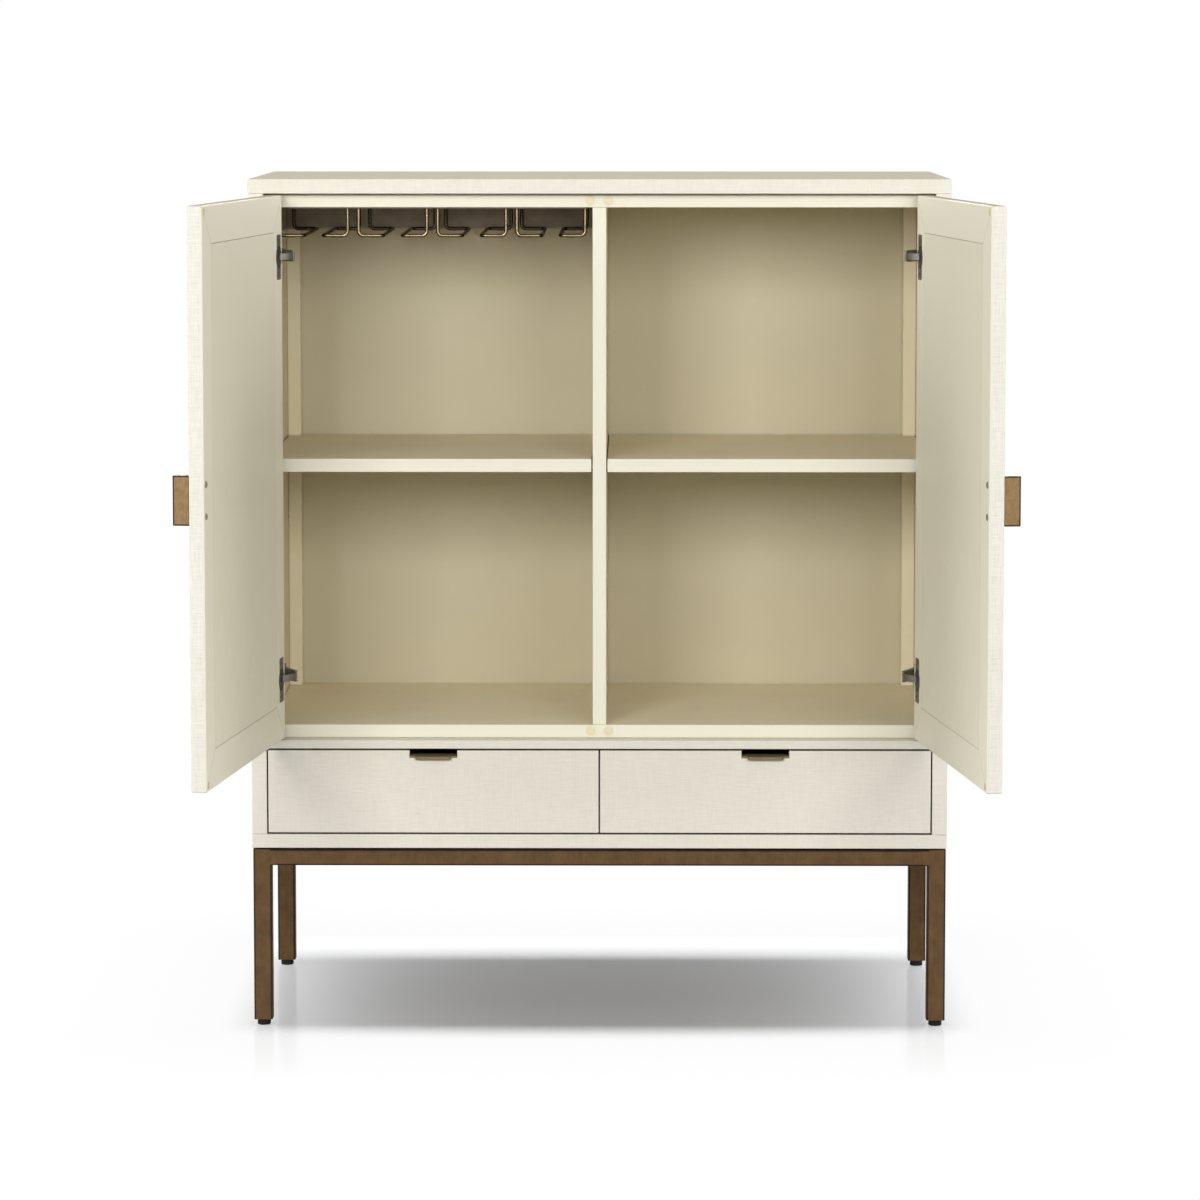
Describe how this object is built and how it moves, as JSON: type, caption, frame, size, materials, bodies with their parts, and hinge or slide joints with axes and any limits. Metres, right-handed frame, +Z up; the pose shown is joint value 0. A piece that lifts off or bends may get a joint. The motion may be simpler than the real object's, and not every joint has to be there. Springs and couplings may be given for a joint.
{
  "type": "bar cabinet",
  "caption": "Linen-wrapped bar cabinet on a slim tube base, with hinged doors over drawers, shelves inside and a hanging stemware rack.",
  "frame": {"origin": "on the floor, under the middle of the whole outline with the doors open as they rest", "axes": "+Z up, +X to the right seen from the front, +Y to the back; the doors face -Y"},
  "size_m": [1.1394, 0.9286, 1.242],
  "materials": {
    "linen_wrap": "board wrapped in woven linen",
    "cream_lacquer": "satin cream lacquer",
    "drawer_wood": "clear matt lacquer",
    "bronze_steel": "antique bronze, satin",
    "rack_bronze": "dark bronze, satin",
    "antique_brass": "antique brass, brushed",
    "hinge_steel": "nickel plated",
    "runner_steel": "zinc plated",
    "black_plastic": "matt black",
    "pad_rubber": "matt black",
    "bumper_amber": "clear amber, soft"
  },
  "bodies": {
    "case": {"back_legs": "bronze_steel", "back_panel": "cream_lacquer", "back_rail": "bronze_steel", "base_pads": "pad_rubber", "base_screws": "hinge_steel", "bottom_panel": "linen_wrap", "centre_divider": "cream_lacquer", "door_bumpers": "bumper_amber", "drawer_partition": "cream_lacquer", "front_legs": "bronze_steel", "front_rail": "bronze_steel", "hinge_pins": "hinge_steel", "hinge_plates": "hinge_steel", "hinge_screws": "hinge_steel", "inner_bottom": "cream_lacquer", "inner_top": "cream_lacquer", "left_hinge_arms": "hinge_steel", "left_shelf": "cream_lacquer", "left_side_panel": "linen_wrap", "leg_glides": "black_plastic", "mid_panel": "linen_wrap", "rear_battens": "cream_lacquer", "right_hinge_arms": "hinge_steel", "right_shelf": "cream_lacquer", "right_side_panel": "linen_wrap", "runner_case_members": "runner_steel", "shelf_pins": "hinge_steel", "side_rails": "bronze_steel", "stemware_channel_1": "rack_bronze", "stemware_channel_2": "rack_bronze", "stemware_channel_3": "rack_bronze", "stemware_channel_4": "rack_bronze", "stemware_screws": "rack_bronze", "stemware_stop_plates": "rack_bronze", "stemware_strips": "rack_bronze", "top_panel": "linen_wrap"},
    "left_door": {"left_door_panel": "linen_wrap", "left_door_lining": "cream_lacquer", "left_door_pull": "antique_brass", "left_door_fittings": "hinge_steel", "left_hinge_cups": "hinge_steel"},
    "left_door_links": {"left_hinge_links": "hinge_steel"},
    "left_drawer": {"left_drawer_front": "linen_wrap", "left_drawer_walls": "drawer_wood", "left_drawer_bottom": "drawer_wood", "left_drawer_pull": "antique_brass", "left_runner_drawer_members": "runner_steel"},
    "left_runner_middle": {"left_runner_middle_members": "runner_steel"},
    "right_door": {"right_door_panel": "linen_wrap", "right_door_lining": "cream_lacquer", "right_door_pull": "antique_brass", "right_door_fittings": "hinge_steel", "right_hinge_cups": "hinge_steel"},
    "right_door_links": {"right_hinge_links": "hinge_steel"},
    "right_drawer": {"right_drawer_front": "linen_wrap", "right_drawer_walls": "drawer_wood", "right_drawer_bottom": "drawer_wood", "right_drawer_pull": "antique_brass", "right_runner_drawer_members": "runner_steel"},
    "right_runner_middle": {"right_runner_middle_members": "runner_steel"}
  },
  "joints": [
    {"name": "left_door_swing", "type": "hinge", "parent": "case", "child": "left_door", "pos_m": [-0.478, 0.01022, 0.8225], "axis": [0, 0, -1], "range_deg": [-98, 8]},
    {"name": "left_link_fold", "type": "hinge", "parent": "case", "child": "left_door_links", "pos_m": [-0.445, 0.03262, 0.8225], "axis": [0, 0, 1], "range_deg": [-42.2, 3.5]},
    {"name": "left_drawer_slide", "type": "slide", "parent": "case", "child": "left_drawer", "axis": [0, -1, 0], "range_m": [0, 0.33]},
    {"name": "left_runner_slide", "type": "slide", "parent": "case", "child": "left_runner_middle", "axis": [0, -1, 0], "range_m": [0, 0.1651]},
    {"name": "right_door_swing", "type": "hinge", "parent": "case", "child": "right_door", "pos_m": [0.478, 0.01022, 0.8225], "axis": [0, 0, 1], "range_deg": [-98, 8]},
    {"name": "right_link_fold", "type": "hinge", "parent": "case", "child": "right_door_links", "pos_m": [0.445, 0.03262, 0.8225], "axis": [0, 0, -1], "range_deg": [-42.2, 3.5]},
    {"name": "right_drawer_slide", "type": "slide", "parent": "case", "child": "right_drawer", "axis": [0, -1, 0], "range_m": [0, 0.33]},
    {"name": "right_runner_slide", "type": "slide", "parent": "case", "child": "right_runner_middle", "axis": [0, -1, 0], "range_m": [0, 0.1651]}
  ],
  "couplings": [
    {"joint": "left_link_fold", "follows": "left_door_swing", "ratio": 0.43},
    {"joint": "left_runner_slide", "follows": "left_drawer_slide", "ratio": 0.5},
    {"joint": "right_link_fold", "follows": "right_door_swing", "ratio": 0.43},
    {"joint": "right_runner_slide", "follows": "right_drawer_slide", "ratio": 0.5}
  ]
}
